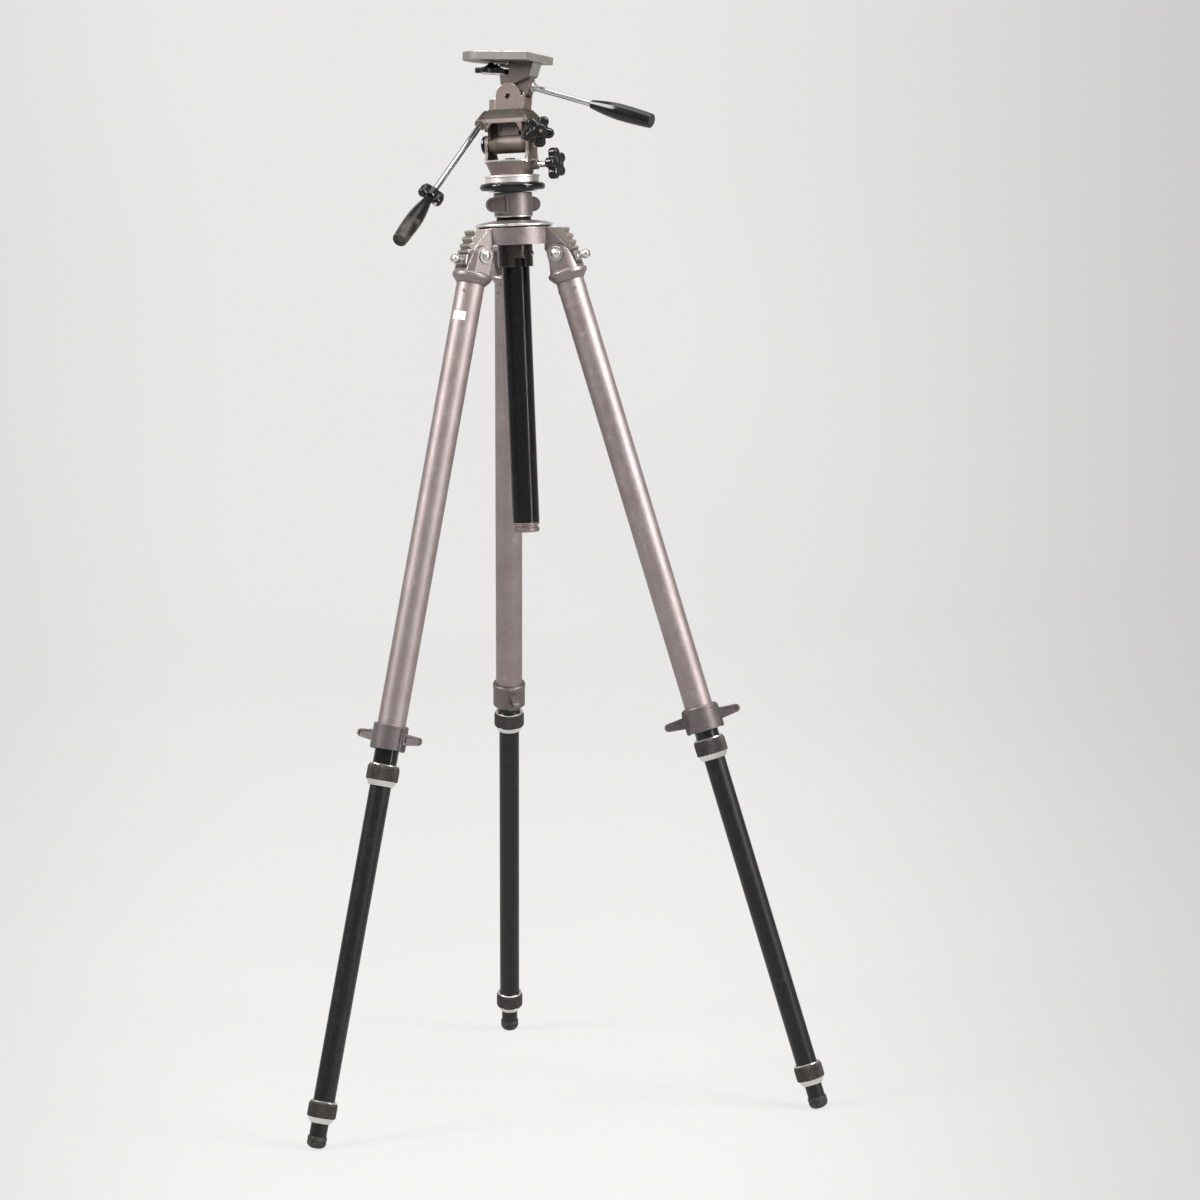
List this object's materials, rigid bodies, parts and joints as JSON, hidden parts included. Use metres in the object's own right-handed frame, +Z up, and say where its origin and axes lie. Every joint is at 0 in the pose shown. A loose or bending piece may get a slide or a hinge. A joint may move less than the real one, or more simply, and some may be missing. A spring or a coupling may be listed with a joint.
{
  "type": "camera tripod with three-way head",
  "caption": "Studio camera tripod with telescoping legs, a sliding centre column and a three-way pan, tilt and side-tilt head under a camera platform.",
  "frame": {"origin": "centre of the bounding box at the floor that the rubber feet stand on", "axes": "+Z up; the two front legs point towards -Y, to the left and right, and the third leg points towards +Y"},
  "size_m": [0.687, 0.5994, 1.402],
  "materials": {
    "bronze_paint": "satin",
    "platform_paint": "satin",
    "black_anodised": "satin",
    "lock_ring": "matte",
    "bright_steel": "satin",
    "chrome": "polished",
    "black_enamel": "gloss",
    "black_plastic": "gloss",
    "foot_rubber": "matte"
  },
  "bodies": {
    "crown": {"crown_casting": "bronze_paint", "crown_top_disc": "bronze_paint", "crown_sleeve": "black_anodised", "column_collet": "bright_steel"},
    "column_lock": {"column_lock_collar": "bronze_paint"},
    "column": {"column_tube": "black_anodised", "column_end_cap": "bronze_paint", "column_plate": "black_enamel", "pan_disc": "bright_steel"},
    "pan": {"pan_base": "bronze_paint"},
    "pan_lock": {"pan_lock_knob": "black_plastic"},
    "tilt_lock": {"tilt_lock_knob": "black_plastic"},
    "tilt": {"tilt_body": "bronze_paint", "tilt_barrel": "bronze_paint", "tilt_axle": "bright_steel", "tilt_end_cap": "black_plastic", "side_tilt_base": "bronze_paint", "tilt_handle_rod": "chrome", "tilt_handle_grip": "black_plastic"},
    "handle_clamp": {"handle_clamp_knob": "black_plastic"},
    "side_tilt": {"side_tilt_head": "bronze_paint", "side_tilt_pivot": "bright_steel", "camera_platform": "platform_paint"},
    "side_handle": {"side_handle_rod": "chrome", "side_handle_grip": "black_plastic"},
    "camera_screw": {"camera_screw": "bright_steel", "camera_screw_wheel": "black_enamel"},
    "leg_left": {"leg_casting_left": "bronze_paint", "pivot_bolt_left": "bright_steel", "main_tube_left": "bronze_paint"},
    "stop_catch_left": {"stop_catch_left": "bronze_paint"},
    "wing_lock_left": {"wing_lock_left": "bronze_paint"},
    "middle_left": {"middle_tube_left": "black_anodised"},
    "upper_ring_left": {"upper_lock_ring_left": "lock_ring"},
    "lower_left": {"lower_tube_left": "black_anodised"},
    "lower_ring_left": {"lower_lock_ring_left": "lock_ring"},
    "foot_left": {"foot_tube_left": "black_anodised", "rubber_foot_left": "foot_rubber"},
    "leg_right": {"leg_casting_right": "bronze_paint", "pivot_bolt_right": "bright_steel", "main_tube_right": "bronze_paint"},
    "stop_catch_right": {"stop_catch_right": "bronze_paint"},
    "wing_lock_right": {"wing_lock_right": "bronze_paint"},
    "middle_right": {"middle_tube_right": "black_anodised"},
    "upper_ring_right": {"upper_lock_ring_right": "lock_ring"},
    "lower_right": {"lower_tube_right": "black_anodised"},
    "lower_ring_right": {"lower_lock_ring_right": "lock_ring"},
    "foot_right": {"foot_tube_right": "black_anodised", "rubber_foot_right": "foot_rubber"},
    "leg_back": {"leg_casting_back": "bronze_paint", "pivot_bolt_back": "bright_steel", "main_tube_back": "bronze_paint"},
    "stop_catch_back": {"stop_catch_back": "bronze_paint"},
    "wing_lock_back": {"wing_lock_back": "bronze_paint"},
    "middle_back": {"middle_tube_back": "black_anodised"},
    "upper_ring_back": {"upper_lock_ring_back": "lock_ring"},
    "lower_back": {"lower_tube_back": "black_anodised"},
    "lower_ring_back": {"lower_lock_ring_back": "lock_ring"},
    "foot_back": {"foot_tube_back": "black_anodised", "rubber_foot_back": "foot_rubber"}
  },
  "joints": [
    {"name": "column_lock_turn", "type": "hinge", "parent": "crown", "child": "column_lock", "pos_m": [0, -0.09486, 1.20142], "axis": [0, 0, 1], "range_deg": [0, 90]},
    {"name": "column_slide", "type": "slide", "parent": "crown", "child": "column", "axis": [0, 0, 1], "range_m": [0, 0.3]},
    {"name": "pan", "type": "hinge", "parent": "column", "child": "pan", "pos_m": [0, -0.09486, 1.22842], "axis": [0, 0, 1], "continuous": true},
    {"name": "pan_lock_turn", "type": "hinge", "parent": "pan", "child": "pan_lock", "pos_m": [0.0322, -0.11859, 1.24992], "axis": [0.8049, -0.5934, 0], "range_deg": [0, 270]},
    {"name": "tilt_lock_turn", "type": "hinge", "parent": "pan", "child": "tilt_lock", "pos_m": [0.02688, -0.11654, 1.29242], "axis": [0.2351, -0.972, 0], "range_deg": [0, 270]},
    {"name": "tilt", "type": "hinge", "parent": "pan", "child": "tilt", "pos_m": [0, -0.09486, 1.27842], "axis": [-0.8049, 0.5934, 0], "range_deg": [-12, 75]},
    {"name": "handle_clamp_turn", "type": "hinge", "parent": "tilt", "child": "handle_clamp", "pos_m": [-0.03948, -0.0928, 1.304], "axis": [-0.4948, -0.6712, -0.5519], "range_deg": [0, 90]},
    {"name": "side_tilt", "type": "hinge", "parent": "tilt", "child": "side_tilt", "pos_m": [0.00414, -0.09261, 1.33947], "axis": [-0.592, -0.8029, 0.0698], "range_deg": [0, 60]},
    {"name": "side_handle_twist", "type": "hinge", "parent": "side_tilt", "child": "side_handle", "pos_m": [0.03076, -0.11131, 1.3501], "axis": [0.7576, -0.5839, -0.2917], "range_deg": [0, 120]},
    {"name": "camera_screw_turn", "type": "hinge", "parent": "side_tilt", "child": "camera_screw", "pos_m": [-0.01618, -0.07346, 1.38741], "axis": [0.0974, 0.0146, 0.9951], "continuous": true},
    {"name": "leg_left_fold", "type": "hinge", "parent": "crown", "child": "leg_left", "pos_m": [-0.05716, -0.12786, 1.13242], "axis": [0.5, -0.866, 0], "range_deg": [0, 15.7]},
    {"name": "stop_catch_left_pull", "type": "hinge", "parent": "leg_left", "child": "stop_catch_left", "pos_m": [-0.07223, -0.13656, 1.12225], "axis": [0.5, -0.866, 0], "range_deg": [0, 18], "stiffness_Nm_per_rad": 0.6, "springref_deg": -5.73},
    {"name": "wing_lock_left_turn", "type": "hinge", "parent": "leg_left", "child": "wing_lock_left", "pos_m": [-0.20714, -0.21445, 0.5163], "axis": [0.2343, 0.1353, 0.9627], "range_deg": [0, 90]},
    {"name": "middle_left_slide", "type": "slide", "parent": "leg_left", "child": "middle_left", "axis": [-0.2343, -0.1353, -0.9627], "range_m": [-0.0175, 0.48]},
    {"name": "upper_ring_left_turn", "type": "hinge", "parent": "middle_left", "child": "upper_ring_left", "pos_m": [-0.21651, -0.21986, 0.47779], "axis": [0.2343, 0.1353, 0.9627], "range_deg": [0, 90]},
    {"name": "lower_left_slide", "type": "slide", "parent": "middle_left", "child": "lower_left", "axis": [-0.2343, -0.1353, -0.9627], "range_m": [-0.41, 0]},
    {"name": "lower_ring_left_turn", "type": "hinge", "parent": "lower_left", "child": "lower_ring_left", "pos_m": [-0.32197, -0.28075, 0.04458], "axis": [0.2343, 0.1353, 0.9627], "range_deg": [0, 90]},
    {"name": "foot_left_slide", "type": "slide", "parent": "lower_left", "child": "foot_left", "axis": [-0.2343, -0.1353, -0.9627], "range_m": [0, 0.4]},
    {"name": "leg_right_fold", "type": "hinge", "parent": "crown", "child": "leg_right", "pos_m": [0.05716, -0.12786, 1.13242], "axis": [0.5, 0.866, 0], "range_deg": [0, 15.7]},
    {"name": "stop_catch_right_pull", "type": "hinge", "parent": "leg_right", "child": "stop_catch_right", "pos_m": [0.07223, -0.13656, 1.12225], "axis": [0.5, 0.866, 0], "range_deg": [0, 18], "stiffness_Nm_per_rad": 0.6, "springref_deg": -5.73},
    {"name": "wing_lock_right_turn", "type": "hinge", "parent": "leg_right", "child": "wing_lock_right", "pos_m": [0.20714, -0.21445, 0.5163], "axis": [-0.2343, 0.1353, 0.9627], "range_deg": [0, 90]},
    {"name": "middle_right_slide", "type": "slide", "parent": "leg_right", "child": "middle_right", "axis": [0.2343, -0.1353, -0.9627], "range_m": [-0.0085, 0.48]},
    {"name": "upper_ring_right_turn", "type": "hinge", "parent": "middle_right", "child": "upper_ring_right", "pos_m": [0.21651, -0.21986, 0.47779], "axis": [-0.2343, 0.1353, 0.9627], "range_deg": [0, 90]},
    {"name": "lower_right_slide", "type": "slide", "parent": "middle_right", "child": "lower_right", "axis": [0.2343, -0.1353, -0.9627], "range_m": [-0.41, 0]},
    {"name": "lower_ring_right_turn", "type": "hinge", "parent": "lower_right", "child": "lower_ring_right", "pos_m": [0.32197, -0.28075, 0.04458], "axis": [-0.2343, 0.1353, 0.9627], "range_deg": [0, 90]},
    {"name": "foot_right_slide", "type": "slide", "parent": "lower_right", "child": "foot_right", "axis": [0.2343, -0.1353, -0.9627], "range_m": [0, 0.4]},
    {"name": "leg_back_fold", "type": "hinge", "parent": "crown", "child": "leg_back", "pos_m": [0, -0.02886, 1.13242], "axis": [-1, 0, 0], "range_deg": [0, 15.7]},
    {"name": "stop_catch_back_pull", "type": "hinge", "parent": "leg_back", "child": "stop_catch_back", "pos_m": [0, -0.01146, 1.12225], "axis": [-1, 0, 0], "range_deg": [0, 18], "stiffness_Nm_per_rad": 0.6, "springref_deg": -5.73},
    {"name": "wing_lock_back_turn", "type": "hinge", "parent": "leg_back", "child": "wing_lock_back", "pos_m": [0, 0.14433, 0.5163], "axis": [0, -0.2706, 0.9627], "range_deg": [0, 90]},
    {"name": "middle_back_slide", "type": "slide", "parent": "leg_back", "child": "middle_back", "axis": [0, 0.2706, -0.9627], "range_m": [-0.0085, 0.48]},
    {"name": "upper_ring_back_turn", "type": "hinge", "parent": "middle_back", "child": "upper_ring_back", "pos_m": [0, 0.15515, 0.47779], "axis": [0, -0.2706, 0.9627], "range_deg": [0, 90]},
    {"name": "lower_back_slide", "type": "slide", "parent": "middle_back", "child": "lower_back", "axis": [0, 0.2706, -0.9627], "range_m": [-0.41, 0]},
    {"name": "lower_ring_back_turn", "type": "hinge", "parent": "lower_back", "child": "lower_ring_back", "pos_m": [0, 0.27692, 0.04458], "axis": [0, -0.2706, 0.9627], "range_deg": [0, 90]},
    {"name": "foot_back_slide", "type": "slide", "parent": "lower_back", "child": "foot_back", "axis": [0, 0.2706, -0.9627], "range_m": [0, 0.4]}
  ]
}
